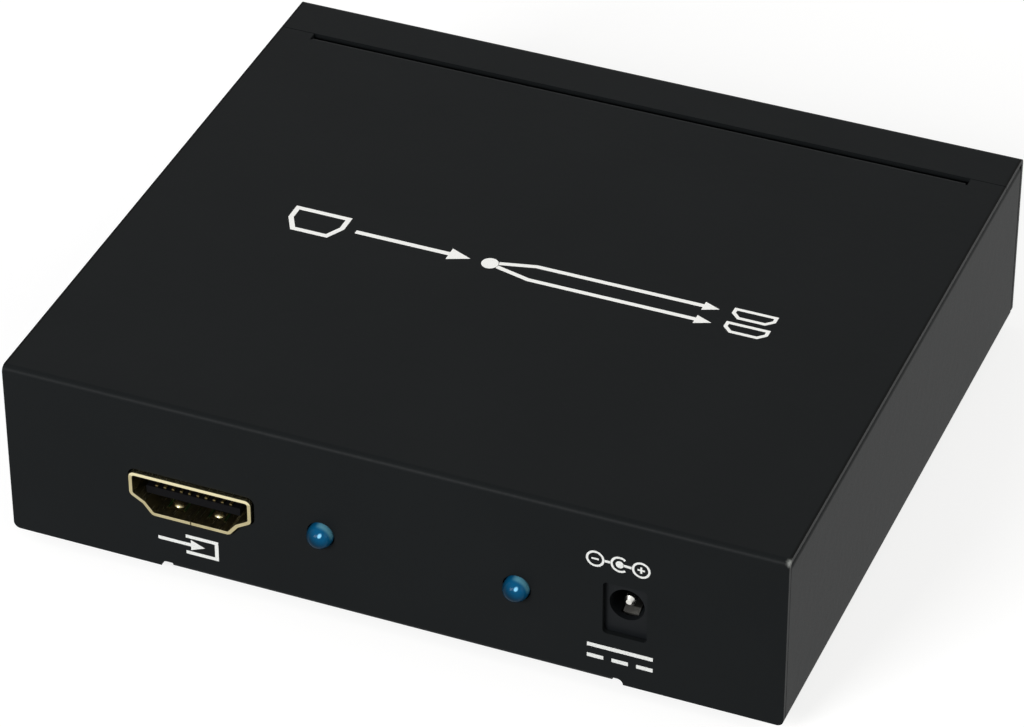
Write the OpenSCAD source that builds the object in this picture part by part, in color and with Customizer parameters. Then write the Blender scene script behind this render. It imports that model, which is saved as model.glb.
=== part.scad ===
// Two-way video splitter in a folded sheet-steel case.
// A base pan carries the circuit board with its sockets, lamps and power jack, and a cover of one bent
// sheet slides off forwards. Millimetres, +Z up, the front faces -Y. The origin is the middle of the
// overall box, on the surface that the feet stand on.

/* [Case] */
// Width of the case, side to side
case_w = 92; // [86:0.5:120]
// Depth of the case, front wall to rear wall
case_d = 81.5; // [74:0.5:120]
// Height of the folded case, without its feet
case_h = 22.5; // [20:0.5:40]
// Thickness of the sheet steel
sheet_t = 0.6; // [0.5:0.05:0.8]
// Inside radius of every bend
bend_in_r = 0.2; // [0.1:0.05:0.3]
// Width of the flanges along the top of the side walls
side_flange_w = 4.3; // [3:0.1:6]
// Depth of the fixed strip along the rear of the top
rear_strip_d = 6.6; // [4:0.1:12]
// Open seam between the fixed strip and the cover's top
seam_gap = 0.6; // [0.4:0.1:2]
// Gap between the end of the cover's tongue and the rear wall
tongue_end_gap = 1; // [0.4:0.1:2]
// Depth of the flange under the cover's front wall
front_flange_d = 8; // [7:0.1:12]
// Distance of the bend reliefs in the front wall from the middle
relief_x = 26.9; // [24:0.1:34]
// Width of a bend relief
relief_w = 1.4; // [0.8:0.1:2]
// Height of a bend relief
relief_h = 0.7; // [0.6:0.1:2]
// Radius of the front wall's two lower corners
front_corner_r = 0.8; // [0.3:0.1:3]
// Running clearance between the cover and the base pan
slide_gap = 0.1; // [0.05:0.05:0.3]
// Clearance beside the cover's tongue and its joggle
tongue_side_gap = 0.3; // [0.1:0.1:0.8]

/* [Circuit board] */
// Thickness of the circuit board
board_t = 1.6; // [1:0.1:2.4]
// Height of the standoffs under the board
standoff_h = 5; // [4.2:0.1:8]
// Gap between the board and each side wall
board_side_gap = 1.9; // [1:0.1:4]
// Gap between the board and the front and rear walls
board_end_gap = 1; // [0.6:0.1:3]
// Distance of the standoffs from the board's side edges
standoff_inset_x = 5.5; // [4:0.5:9]
// Distance of the standoffs from the board's front and rear edges
standoff_inset_y = 16; // [14:0.5:24]
// Gap around leads, legs and screws that pass through the board
board_hole_gap = 0.2; // [0.1:0.05:0.4]
// Length of leads and legs that stand out under the board
lead_out = 0.7; // [0.3:0.1:1.5]

/* [Video sockets] */
// Distance of the input socket's middle from the left side of the case
input_inset = 22.5; // [14:0.1:28]
// Distance of each output socket from the middle of the rear wall
output_x = 18; // [10:0.5:28]
// How far a socket's rim stands out of its wall
socket_out = 0.4; // [0:0.1:1.2]
// Clearance around a socket in its wall
socket_hole_gap = 0.25; // [0.15:0.05:0.6]
// Length of a socket
socket_len = 11.6; // [10:0.1:14]
// Width of a socket's opening
socket_open_w = 14; // [13:0.1:15]
// Height of a socket's opening
socket_open_h = 4.55; // [4.3:0.05:5.2]
// Width of the opening's floor
socket_floor_w = 9; // [8:0.1:9.6]
// Half width of the opening at its step
socket_step_x = 5.5; // [5:0.1:6.2]
// Height of the step above the opening's floor
socket_step_z = 1.25; // [0.8:0.05:1.6]
// Height above the floor where the side walls start
socket_shoulder_z = 2.15; // [1.8:0.05:2.6]
// Radius of the opening's corners
socket_corner_r = 0.3; // [0.15:0.05:0.4]
// Thickness of a socket's shell
socket_shell_t = 0.4; // [0.25:0.05:0.6]
// Distance of the spring dimples on the floor from the socket's middle
floor_spring_x = 2.45; // [2:0.05:3]
// Distance of the spring dimples under the roof from the socket's middle
roof_spring_x = 3.6; // [2.5:0.1:5]
// Distance of the dimples behind the rim
dimple_y = 2.6; // [2.2:0.1:4]
// Height of a dimple
dimple_h = 0.4; // [0.2:0.05:0.6]
// Width of the insulator's tongue
blade_w = 11.4; // [10.4:0.1:12]
// Thickness of the insulator's tongue
blade_t = 1; // [0.8:0.05:1.3]
// Height of the tongue's middle above the opening's floor
blade_z = 2.4; // [2.2:0.05:2.9]
// How far the tongue stays behind the rim
blade_setback = 0.9; // [0.6:0.1:2]
// Depth of the insulator's block behind the tongue
block_d = 3.2; // [2.5:0.1:4]
// Spacing of the contacts along one face of the tongue
contact_pitch = 1; // [0.9:0.05:1]
// Width of a contact
contact_w = 0.3; // [0.2:0.05:0.4]
// Thickness of a contact
contact_t = 0.2; // [0.1:0.05:0.3]

/* [Signal lamps] */
// Places of the two lamps along the front wall
lamp_x = [-7.9, 15.2]; // [-14:0.1:22]
// Height of each lamp's axis above the board
lamp_lift = [3, 2.6]; // [2.5:0.1:5]
// Diameter of a lamp
lamp_d = 3; // [2.6:0.1:3.4]
// Length of a lamp's lens from tip to rim
lamp_len = 5.3; // [4.8:0.1:6]
// How far a lamp stands out of the front wall
lamp_out = 1.7; // [1:0.1:2.2]
// Diameter of the rim at the back of a lamp
lamp_rim_d = 3.8; // [3.7:0.1:4.2]
// Height of that rim
lamp_rim_h = 1; // [0.6:0.1:1.4]
// Clearance around a lamp in the wall and in its holder
lamp_gap = 0.15; // [0.1:0.05:0.3]
// Spacing of a lamp's two leads
lead_pitch = 2.54; // [2:0.02:2.6]
// Width and thickness of a lead
lead_w = 0.5; // [0.4:0.05:0.6]
// Depth of a lamp's holder
holder_d = 6.4; // [5.8:0.1:8]
// Wall of a lamp's holder
holder_wall = 0.7; // [0.5:0.1:1]

/* [Power jack] */
// Distance of the jack's axis from the right side of the case
jack_inset = 18.3; // [12:0.1:20]
// Width of the jack's body
jack_w = 6; // [5.4:0.1:8]
// Height of the jack's body
jack_h = 7; // [6.4:0.1:9]
// Length of the jack's body
jack_len = 10.6; // [10:0.1:14]
// Gap between the jack's face and the front wall
jack_face_gap = 0.1; // [0.05:0.05:0.5]
// Height of the jack's axis above the board
jack_axis = 3.5; // [3.4:0.1:4]
// Bore of the jack
jack_bore_d = 4.05; // [3.8:0.05:4.4]
// Depth of the bore
jack_bore_depth = 8.6; // [8:0.1:9]
// Diameter of the centre pin
jack_pin_d = 1.3; // [1:0.05:1.6]
// How far the pin stays behind the jack's face
jack_pin_setback = 0.5; // [0.3:0.1:2]
// Width of the window in the front wall
jack_window_w = 5.1; // [4.6:0.1:5.4]
// Height of the window in the front wall
jack_window_h = 7; // [6:0.1:8]
// How far the window reaches below the board's top face
jack_window_drop = 0.55; // [0:0.05:0.6]
// Corner radius of the window
jack_window_r = 0.5; // [0.2:0.1:1]
// Width of the sprung leaf
leaf_w = 1.8; // [1.2:0.1:2.4]
// Thickness of the sprung leaf
leaf_t = 0.25; // [0.15:0.05:0.35]
// Clearance around the sprung leaf
leaf_gap = 0.15; // [0.1:0.05:0.3]
// Distance of the leaf's bend line behind the jack's face
leaf_hinge_y = 7.6; // [7.4:0.1:8]
// Height of the leaf's bend line above the board
leaf_hinge_z = 1.1; // [1:0.05:1.3]
// Width of the jack's terminals
terminal_w = 1.6; // [1:0.1:2.4]
// Thickness of the jack's terminals
terminal_t = 0.3; // [0.2:0.05:0.4]

/* [Parts on the board] */
// Place of the splitter chip
chip_at = [-4, -1]; // [-10:0.5:10]
// Side of the splitter chip
chip_w = 9; // [7:0.5:12]
// Height of the splitter chip
chip_h = 0.9; // [0.7:0.1:1.6]
// Thickness of the thermal pad
pad_t = 0.5; // [0.3:0.1:1.5]
// Side of the heat sink
sink_w = 15; // [12:0.5:18]
// Thickness of the heat sink's base
sink_base_t = 1.5; // [1:0.1:2]
// Height of the heat sink's fins above its base
sink_fin_h = 4.5; // [3:0.1:5]
// Number of fins
sink_fins = 6; // [4:1:8]
// Thickness of a fin
sink_fin_t = 1; // [0.7:0.1:1.2]
// Diameter of the electrolytic capacitors
can_d = 6.3; // [4:0.1:6.6]
// Height of their cans
can_h = 5.4; // [4:0.1:6]
// Side of the inductor
coil_w = 6; // [4:0.1:7]
// Height of the inductor
coil_h = 2.8; // [2:0.1:4]
// Length of the crystal's can
crystal_l = 10.2; // [8:0.1:11.5]
// Width of the crystal's can
crystal_w = 3.8; // [3:0.1:4.6]
// Height of the crystal's can
crystal_h = 3.2; // [2:0.1:4]

/* [Fasteners and feet] */
// Diameter of all screws
screw_d = 3; // [2.5:0.1:3]
// Diameter of the screw heads
screw_head_d = 5.5; // [5:0.1:6]
// Height of the screw heads
screw_head_h = 1.2; // [1:0.05:1.3]
// Length of a board screw under its head
board_screw_l = 5; // [4:0.1:5.5]
// Radial clearance in threads and press-in seats
thread_gap = 0.05; // [0.02:0.01:0.1]
// Diameter of a standoff
standoff_d = 5.5; // [5.2:0.1:6]
// Distance of the cover screws from the middle
cover_screw_x = 18; // [12:0.5:20]
// Distance of the cover screws behind the front wall's face
cover_screw_y = 5; // [4.9:0.1:5.2]
// Diameter of the clinch nuts
nut_d = 6.4; // [5.4:0.1:6.4]
// Height of the clinch nuts
nut_h = 1.8; // [1.4:0.1:2.2]
// Diameter of a foot
foot_d = 8; // [6:0.5:10]
// Height of a foot
foot_h = 1.6; // [1.5:0.1:3]
// Distance of a foot's middle from the sides of the case
foot_inset = 8; // [6.5:0.5:9]

/* [Hidden] */

$fn = 48;
// How far cutting shapes reach past what they cut, and how far joined shapes lap
over = 1;

// Colours as the finished pieces show them
case_black = [0.13, 0.13, 0.14];
gold = [0.83, 0.69, 0.36];
bright_tin = [0.78, 0.78, 0.76];
plastic_black = [0.06, 0.06, 0.065];
board_green = [0.05, 0.28, 0.14];
lamp_blue = [0.05, 0.36, 0.58];

// The case's planes, in the case's own frame: its underside is z = 0
bend_r = sheet_t + bend_in_r;
side_x = case_w / 2;
input_x = input_inset - side_x;
jack_x = side_x - jack_inset;
front_y = -case_d / 2;
rear_y = case_d / 2;
top_under = case_h - sheet_t;
flange_top = top_under - slide_gap;
flange_under = flange_top - sheet_t;
tongue_top = flange_under - slide_gap;
tongue_under = tongue_top - sheet_t;
strip_front = rear_y - rear_strip_d;
top_end = strip_front - seam_gap;
tongue_end = rear_y - sheet_t - tongue_end_gap;
joggle_x = side_x - side_flange_w - tongue_side_gap;
tongue_x = side_x - sheet_t - tongue_side_gap;
front_flange_x = relief_x - relief_w / 2;
front_flange_end = front_y + front_flange_d;
rear_bend_y = rear_y - bend_r;
pan_front = front_y + sheet_t + slide_gap;

// The case frame is set so that the overall box, lamps and sockets included, is centred on the origin
case_y = (max(lamp_out, socket_out) - socket_out) / 2;

// The raised tab of the base pan that lies on the cover's front flange
tab_room_x = relief_x + relief_w / 2;
tab_x = front_flange_x - relief_w;
tab_under = sheet_t + slide_gap;
tab_top = tab_under + sheet_t;
tab_front = front_y + 2 * bend_r;
tab_rear = front_flange_end + slide_gap + sheet_t;
cover_slot_w = screw_d + 2 * tongue_side_gap;
cover_screw_l = slide_gap + tab_top + nut_h + thread_gap;
recess_l = 2.8;
recess_w = 0.8;
recess_d = 0.7;

// The circuit board
board_under = sheet_t + standoff_h;
board_top = board_under + board_t;
board_x = side_x - sheet_t - board_side_gap;
board_front = front_y + sheet_t + board_end_gap;
board_rear = rear_y - sheet_t - board_end_gap;
standoff_x = board_x - standoff_inset_x;
standoff_spigot_d = standoff_d - 2 * sheet_t;
lead_drop = board_t + lead_out;

// Place and turn of each socket's rim: the input in front, two outputs behind
sockets = [
  [input_x, front_y - socket_out, 0],
  [-output_x, rear_y + socket_out, 180],
  [output_x, rear_y + socket_out, 180]
];
socket_corners = [
  [-socket_floor_w / 2, 0], [socket_floor_w / 2, 0],
  [socket_step_x, socket_step_z], [socket_open_w / 2, socket_shoulder_z],
  [socket_open_w / 2, socket_open_h], [-socket_open_w / 2, socket_open_h],
  [-socket_open_w / 2, socket_shoulder_z], [-socket_step_x, socket_step_z]
];
// The two steps turn inwards and stay sharp
socket_step_corners = [2, 7];
socket_opening = rounded(socket_corners, socket_corner_r, socket_step_corners);
insulator_gap = 0.05;
spring_w = 1.7;
spring_t = 0.25;
spring_slit = 0.25;
spring_len = 5.4;
spring_nose = 1;
spring_tip = dimple_y - spring_nose;
dimple_r = 0.9;
floor_seam_w = 0.12;
leg_w = 1.4;
leg_y = [3.8, 9.6];
upper_contacts = 10;
lower_contacts = 9;
upper_setback = 0.15;
lower_setback = 0.5;
contact_foot = 0.9;
blade_top = socket_shell_t + blade_z + blade_t / 2;
blade_under = blade_top - blade_t;

// The lamps, along +Y from the tip of the lens
lamp_bend_y = lamp_len + 1;
holder_front = lamp_out + sheet_t + holder_wall;
holder_w = lamp_rim_d + 2 * lamp_gap + 2 * holder_wall;

// The jack, along +Y from its face
jack_face = front_y + sheet_t + jack_face_gap;
jack_lip_t = (board_end_gap - jack_face_gap) / 2;
jack_lip_h = board_t / 2;
leaf_roll_r = 0.3;
leaf_floor = 0.45;
leaf_front_lip = 0.8;
leaf_terminal_y = leaf_hinge_y + leaf_roll_r + leaf_gap;
leaf_rise = 0.25;
leaf_crown = jack_axis - jack_bore_d / 2 - leaf_hinge_z + leaf_rise;
leaf_arm = [-4, 0.2];
leaf_crown_y = [-4.9, -5.6];
leaf_tip = [-6.4, 0.25];
// The leaf's middle line from its bend line forwards: a long arm, a flat crown and a turned-down tip
leaf_line = [[0, 0], leaf_arm, [leaf_crown_y[0], leaf_crown], [leaf_crown_y[1], leaf_crown], leaf_tip];

// Parts on the board, each group set from the edge of the board that it serves
memory_size = [4.9, 3.9, 1.4];
memory_lift = 0.1;
memory_leg_pitch = 1.27;
memory_leg_w = 0.4;
memory_row = 20;
memory_places = [
  [input_x, board_front + memory_row],
  [-output_x, board_rear - memory_row],
  [output_x, board_rear - memory_row]
];
leg_t = 0.2;
leg_run = 0.35;
leg_foot = 0.8;
leg_z = 0.6;
regulator_row = 18;
regulator_at = [jack_x, board_front + regulator_row];
regulator_size = [6.5, 3.5, 1.6];
regulator_leg_pitch = 2.3;
regulator_leg_w = 0.7;
regulator_tab_w = 3;
coil_row = 17;
coil_side = 11;
coil_at = [jack_x - coil_side, board_front + coil_row];
can_row = 27;
can_near = 2;
can_far = 12;
can_places = [[jack_x + can_near, board_front + can_row], [jack_x - can_far, board_front + can_row]];
can_base_t = 1;
can_base_out = 0.15;
can_base_w = can_d + 2 * can_base_out;
can_edge_r = 0.5;
can_bead_r = 0.4;
can_bead_z = 1.1;
crystal_off = [-18, 4];
crystal_at = chip_at + crystal_off;
crystal_foot_t = 0.4;
crystal_foot_out = 0.4;
ceramic_size = [1.6, 0.8, 0.8];
resistor_size = [1, 0.5, 0.35];
bypass_count = 6;
bypass_pitch = 2.6;
bypass_gap = 3;
series_count = 4;
series_pitch = 2.2;
series_gap = 2.5;

function unit(v) = v / norm(v);

function edge_normal(a, b) = let (along = unit(b - a)) [along[1], -along[0]];

// An arc of radius r in place of the corner b between a and c
function corner_arc(a, b, c, r, steps = 4) =
  let (
    ba = unit(a - b),
    bc = unit(c - b),
    half = acos(ba * bc) / 2,
    centre = b + unit(ba + bc) * r / sin(half),
    first = b + ba * r / tan(half) - centre,
    from = atan2(first[1], first[0]),
    turn = (ba[0] * bc[1] > ba[1] * bc[0] ? -1 : 1) * (180 - 2 * half)
  )
  [for (i = [0 : steps]) centre + r * [cos(from + turn * i / steps), sin(from + turn * i / steps)]];

// A closed outline with its corners rounded, apart from those listed as sharp
function rounded(points, r, sharp) =
  let (n = len(points))
  [for (i = [0 : n - 1])
    each len(search(i, sharp)) > 0
      ? [points[i]]
      : corner_arc(points[(i + n - 1) % n], points[i], points[(i + 1) % n], r)];

// A closed counterclockwise outline with every edge moved outwards by gap
function outset(points, gap) =
  let (n = len(points))
  [for (i = [0 : n - 1])
    let (
      before = edge_normal(points[(i + n - 1) % n], points[i]),
      after = edge_normal(points[i], points[(i + 1) % n])
    )
    points[i] + gap * (before + after) / (1 + before * after)];

// From the case's own frame to the part's frame
module placed() {
  translate([0, case_y, foot_h]) children();
}

module both_sides() {
  children();
  mirror([1, 0, 0]) children();
}

// A profile in X and Z, drawn out along Y
module along_y(from, to) {
  translate([0, to, 0]) rotate([90, 0, 0]) linear_extrude(to - from) children();
}

// A profile in Y and Z, drawn out along X
module along_x(from, to) {
  translate([from, 0, 0]) rotate([90, 0, 90]) linear_extrude(to - from) children();
}

// A straight run of a profile, between two opposite corners
module leg(from, to) {
  translate(from) square(to - from);
}

// A block between two opposite corners
module block(from, to) {
  translate(from) cube(to - from);
}

// A quarter bend of the sheet, in the quadrant that starts at the angle given
module bend(centre, angle) {
  translate(centre) rotate(angle) difference() {
    intersection() {
      circle(r = bend_r);
      square(bend_r);
    }
    circle(r = bend_in_r);
  }
}

// A lead that runs level at a height, drops and ends in a foot on the board
module dropped_lead(run, height, t, foot) {
  polygon([
    [0, height], [0, height + t], [run + t, height + t], [run + t, t],
    [run + foot, t], [run + foot, 0], [run, 0], [run, height]
  ]);
}

module at_socket(i) {
  translate([sockets[i][0], sockets[i][1], board_top]) rotate(sockets[i][2]) children();
}

module at_lamp(i) {
  translate([lamp_x[i], front_y - lamp_out, board_top + lamp_lift[i]]) children();
}

module at_jack() {
  translate([jack_x, jack_face, board_top]) children();
}

module at_standoffs() {
  for (x = [-standoff_x, standoff_x], y = [board_front + standoff_inset_y, board_rear - standoff_inset_y])
    translate([x, y, 0]) children();
}

module at_cover_screws() {
  both_sides() translate([cover_screw_x, front_y + cover_screw_y, 0]) children();
}

// The outline of a socket's opening, grown by gap, above the board's top face
module socket_outline(gap) {
  translate([0, socket_shell_t]) polygon(outset(socket_opening, gap));
}

module socket_hole(i) {
  hole_gap = socket_shell_t + socket_hole_gap;
  at_socket(i) along_y(-over, socket_out + sheet_t + over) socket_outline(hole_gap);
}

module jack_window() {
  inner = [jack_window_w / 2 - jack_window_r, jack_window_h - 2 * jack_window_r];
  translate([jack_x, board_top - jack_window_drop]) {
    leg([-inner[0], 0], [inner[0], jack_window_h]);
    leg([-jack_window_w / 2, jack_window_r], [jack_window_w / 2, jack_window_h - jack_window_r]);
    for (x = [-inner[0], inner[0]], z = [jack_window_r, jack_window_r + inner[1]])
      translate([x, z]) circle(r = jack_window_r);
  }
}

// A bend relief, round at its outer side and square beside the flange
module relief() {
  leg([relief_x - relief_w / 2, -over], [relief_x + relief_w / 2, relief_h - relief_w / 2]);
  leg([relief_x - relief_w / 2, -over], [relief_x, relief_h]);
  translate([relief_x, relief_h - relief_w / 2]) circle(d = relief_w);
}

// The front wall seen from the front, with everything cut out of it but the input socket
module cover_front() {
  difference() {
    leg([-side_x, 0], [side_x, case_h - bend_r]);
    both_sides() difference() {
      leg([side_x - front_corner_r, -over], [side_x + over, front_corner_r]);
      translate([side_x - front_corner_r, front_corner_r]) circle(r = front_corner_r);
    }
    leg([-front_flange_x, -over], [front_flange_x, bend_r]);
    both_sides() relief();
    for (i = [0, 1])
      translate([lamp_x[i], board_top + lamp_lift[i]]) circle(d = lamp_d + 2 * lamp_gap);
    jack_window();
  }
}

module cover_flange() {
  difference() {
    along_x(-front_flange_x, front_flange_x) {
      leg([front_y, bend_r], [front_y + sheet_t, bend_r + over]);
      bend([front_y + bend_r, bend_r], 180);
      leg([front_y + bend_r, 0], [front_flange_end, sheet_t]);
    }
    at_cover_screws() {
      translate([0, 0, -over]) cylinder(d = cover_slot_w, h = sheet_t + 2 * over);
      block([-cover_slot_w / 2, 0, -over], [cover_slot_w / 2, front_flange_d, sheet_t + over]);
    }
  }
}

module cover_top() {
  along_x(-side_x, side_x) {
    leg([front_y, case_h - bend_r - over], [front_y + sheet_t, case_h - bend_r]);
    bend([front_y + bend_r, case_h - bend_r], 90);
    leg([front_y + bend_r, top_under], [top_end - bend_r, case_h]);
  }
  both_sides() along_x(side_x - side_flange_w, side_x)
    leg([top_end - bend_r - over, top_under], [strip_front - slide_gap, case_h]);
}

// The end of the top steps down and passes under the rear strip, with its ears under the side flanges
module cover_tongue() {
  along_x(-joggle_x, joggle_x) {
    leg([top_end - bend_r - over, top_under], [top_end - bend_r, case_h]);
    bend([top_end - bend_r, case_h - bend_r], 0);
    leg([top_end - sheet_t, tongue_top + bend_in_r], [top_end, case_h - bend_r]);
    bend([top_end + bend_in_r, tongue_top + bend_in_r], 180);
    leg([top_end + bend_in_r, tongue_under], [top_end + bend_r + over, tongue_top]);
  }
  along_x(-tongue_x, tongue_x) leg([top_end + bend_r, tongue_under], [tongue_end, tongue_top]);
}

module cover() {
  color(case_black) placed() {
    difference() {
      along_y(front_y, front_y + sheet_t) cover_front();
      socket_hole(0);
    }
    cover_flange();
    cover_top();
    cover_tongue();
  }
}

module pan_profile() {
  inner_x = side_x - bend_r;
  leg([-inner_x, 0], [inner_x, sheet_t]);
  both_sides() {
    bend([inner_x, bend_r], 270);
    leg([side_x - sheet_t, bend_r], [side_x, flange_top - bend_r]);
    bend([inner_x, flange_top - bend_r], 0);
    leg([side_x - side_flange_w, flange_under], [inner_x, flange_top]);
  }
}

// The rear wall and the strip on top, in full width
module pan_rear_profile() {
  leg([rear_y - sheet_t, bend_r], [rear_y, case_h - bend_r]);
  bend([rear_bend_y, case_h - bend_r], 0);
  leg([strip_front, top_under], [rear_bend_y, case_h]);
}

// The bend between floor and rear wall, which stops short of the corners
module pan_rear_bend() {
  leg([rear_bend_y - over, 0], [rear_bend_y, sheet_t]);
  bend([rear_bend_y, bend_r], 270);
  leg([rear_y - sheet_t, bend_r], [rear_y, bend_r + over]);
}

module pan_tab() {
  difference() {
    union() {
      block([-tab_x, tab_front, tab_under], [tab_x, tab_rear, tab_top]);
      block([-tab_x, tab_rear - sheet_t, 0], [tab_x, tab_rear, tab_top]);
    }
    at_cover_screws() cylinder(d = cover_slot_w, h = tab_top + over);
  }
}

module base_pan() {
  color(case_black) placed() {
    difference() {
      union() {
        along_y(pan_front, rear_bend_y) pan_profile();
        along_x(-side_x, side_x) pan_rear_profile();
        along_x(bend_r - side_x, side_x - bend_r) pan_rear_bend();
      }
      block([-tab_room_x, front_y, -over], [tab_room_x, tab_rear - sheet_t, sheet_t + over]);
      socket_hole(1);
      socket_hole(2);
      at_standoffs() translate([0, 0, -over])
        cylinder(d = standoff_spigot_d + 2 * thread_gap, h = sheet_t + 2 * over);
    }
    pan_tab();
  }
}

module circuit_board() {
  hole_gap = board_hole_gap;
  color(board_green) placed() difference() {
    block([-board_x, board_front, board_under], [board_x, board_rear, board_top]);
    at_standoffs() cylinder(d = screw_d + 2 * hole_gap, h = board_top + over);
    for (i = [0 : 2], y = leg_y) at_socket(i) both_sides()
      block([socket_open_w / 2 - hole_gap, y - leg_w / 2 - hole_gap, -board_t - over],
        [socket_open_w / 2 + socket_shell_t + hole_gap, y + leg_w / 2 + hole_gap, over]);
    for (i = [0, 1]) at_lamp(i) both_sides()
      translate([lead_pitch / 2, lamp_bend_y + lead_w / 2, -lamp_lift[i] - board_t - over])
        cylinder(d = lead_w * sqrt(2) + 2 * hole_gap, h = board_t + 2 * over);
    for (y = [leaf_terminal_y, jack_len]) at_jack()
      block([-terminal_w / 2 - hole_gap, y - hole_gap, -board_t - over],
        [terminal_w / 2 + hole_gap, y + terminal_t + hole_gap, over]);
  }
}

module board_standoffs() {
  color("silver") placed() at_standoffs() difference() {
    union() {
      cylinder(d = standoff_spigot_d, h = sheet_t + over);
      translate([0, 0, sheet_t]) cylinder(d = standoff_d, h = standoff_h);
    }
    translate([0, 0, -over]) cylinder(d = screw_d + 2 * thread_gap, h = board_under + 2 * over);
  }
}

// A screw with its head up: the underside of the head is at z = 0
module screw(length) {
  edge = screw_head_h / 4;
  difference() {
    rotate_extrude() polygon([
      [0, -length], [screw_d / 2, -length], [screw_d / 2, 0], [screw_head_d / 2, 0],
      [screw_head_d / 2, screw_head_h - 2 * edge], [screw_head_d / 2 - edge, screw_head_h], [0, screw_head_h]
    ]);
    for (turn = [0, 90]) rotate(turn)
      block([-recess_l / 2, -recess_w / 2, screw_head_h - recess_d],
        [recess_l / 2, recess_w / 2, screw_head_h + over]);
  }
}

module board_screws() {
  color("gainsboro") placed() at_standoffs() translate([0, 0, board_top]) screw(board_screw_l);
}

module cover_screws() {
  color([0.1, 0.1, 0.1]) placed() at_cover_screws()
    translate([0, 0, -slide_gap]) rotate([180, 0, 0]) screw(cover_screw_l);
}

module clinch_nuts() {
  color("silver") placed() at_cover_screws() translate([0, 0, tab_top]) difference() {
    cylinder(d = nut_d, h = nut_h);
    translate([0, 0, -over]) cylinder(d = screw_d + 2 * thread_gap, h = nut_h + 2 * over);
  }
}

module rubber_feet() {
  taper = foot_h / 4;
  dish = foot_h / 3;
  color([0.08, 0.08, 0.08]) placed()
    for (x = [-1, 1], y = [-1, 1])
      translate([x * (side_x - foot_inset), y * (rear_y - foot_inset), -foot_h]) rotate_extrude()
        polygon([
          [0, dish], [foot_d / 4, dish], [foot_d / 4 + dish, 0], [foot_d / 2 - taper, 0],
          [foot_d / 2, foot_h], [0, foot_h]
        ]);
}

// One spring cut out of a socket's wall, seen from the inner face: +Z points into the opening
module socket_spring() {
  block([-spring_w / 2, spring_tip, -spring_t], [spring_w / 2, spring_tip + spring_len, 0]);
  translate([0, dimple_y, 0]) intersection() {
    translate([0, 0, dimple_h - dimple_r]) sphere(r = dimple_r);
    block([-dimple_r, -dimple_r, -spring_t / 2], [dimple_r, dimple_r, dimple_r]);
  }
}

module socket_spring_window() {
  half = spring_w / 2 + spring_slit;
  block([-half, spring_tip - spring_slit, -socket_shell_t - over],
    [half, spring_tip + spring_len - spring_slit, over / 4]);
}

module at_springs() {
  both_sides() translate([floor_spring_x, 0, socket_shell_t]) children();
  both_sides() translate([roof_spring_x, 0, socket_shell_t + socket_open_h]) mirror([0, 0, 1]) children();
}

// A folded shell with an open seam in its floor, four springs and four legs through the board
module socket_shell() {
  difference() {
    along_y(0, socket_len) difference() {
      socket_outline(socket_shell_t);
      socket_outline(0);
    }
    at_springs() socket_spring_window();
    block([-floor_seam_w / 2, -over, -over], [floor_seam_w / 2, socket_len + over, socket_shell_t + over]);
  }
  at_springs() socket_spring();
  for (y = leg_y) both_sides()
    block([socket_open_w / 2, y - leg_w / 2, -lead_drop],
      [socket_open_w / 2 + socket_shell_t, y + leg_w / 2, socket_shell_t + socket_open_h / 2 + leg_w / 2]);
}

// Contacts on both faces of the tongue, with the lower row set further back
module socket_contacts() {
  upper = [upper_contacts, blade_top, blade_setback + upper_setback];
  lower = [lower_contacts, blade_under - contact_t, blade_setback + lower_setback];
  for (row = [upper, lower], i = [0 : row[0] - 1])
    translate([(i - (row[0] - 1) / 2) * contact_pitch, row[2], 0])
      along_x(-contact_w / 2, contact_w / 2)
        dropped_lead(socket_len - row[2], row[1], contact_t, contact_foot);
}

module socket_insulator() {
  difference() {
    union() {
      along_y(socket_len - block_d, socket_len) socket_outline(-insulator_gap);
      block([-blade_w / 2, blade_setback, blade_under], [blade_w / 2, socket_len - block_d / 2, blade_top]);
    }
    socket_contacts();
  }
}

module input_shell() {
  color(gold) placed() at_socket(0) socket_shell();
}

module input_insulator() {
  color(plastic_black) placed() at_socket(0) socket_insulator();
}

module input_contacts() {
  color(gold) placed() at_socket(0) socket_contacts();
}

module output_1_shell() {
  color(gold) placed() at_socket(1) socket_shell();
}

module output_1_insulator() {
  color(plastic_black) placed() at_socket(1) socket_insulator();
}

module output_1_contacts() {
  color(gold) placed() at_socket(1) socket_contacts();
}

module output_2_shell() {
  color(gold) placed() at_socket(2) socket_shell();
}

module output_2_insulator() {
  color(plastic_black) placed() at_socket(2) socket_insulator();
}

module output_2_contacts() {
  color(gold) placed() at_socket(2) socket_contacts();
}

module jack_terminal(y, top) {
  block([-terminal_w / 2, y, -lead_drop], [terminal_w / 2, y + terminal_t, top]);
}

// The body stands on the board, and a lip of its face hangs down in front of the board's edge
module jack_body() {
  leaf_room_x = leaf_w / 2 + leaf_gap;
  slot = [terminal_w / 2 + thread_gap, terminal_t + thread_gap];
  color(plastic_black) placed() at_jack() difference() {
    union() {
      block([-jack_w / 2, 0, 0], [jack_w / 2, jack_len, jack_h]);
      block([-jack_w / 2, 0, -jack_lip_h], [jack_w / 2, jack_lip_t, over]);
    }
    translate([0, 0, jack_axis]) rotate([-90, 0, 0]) {
      translate([0, 0, -over]) cylinder(d = jack_bore_d, h = jack_bore_depth + over);
      cylinder(d = jack_pin_d + 2 * thread_gap, h = jack_len + over);
    }
    block([-leaf_room_x, leaf_front_lip, leaf_floor],
      [leaf_room_x, leaf_terminal_y + slot[1], jack_axis - jack_pin_d]);
    block([-slot[0], leaf_terminal_y - thread_gap, -over],
      [slot[0], leaf_terminal_y + slot[1], leaf_floor + over]);
  }
}

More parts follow.
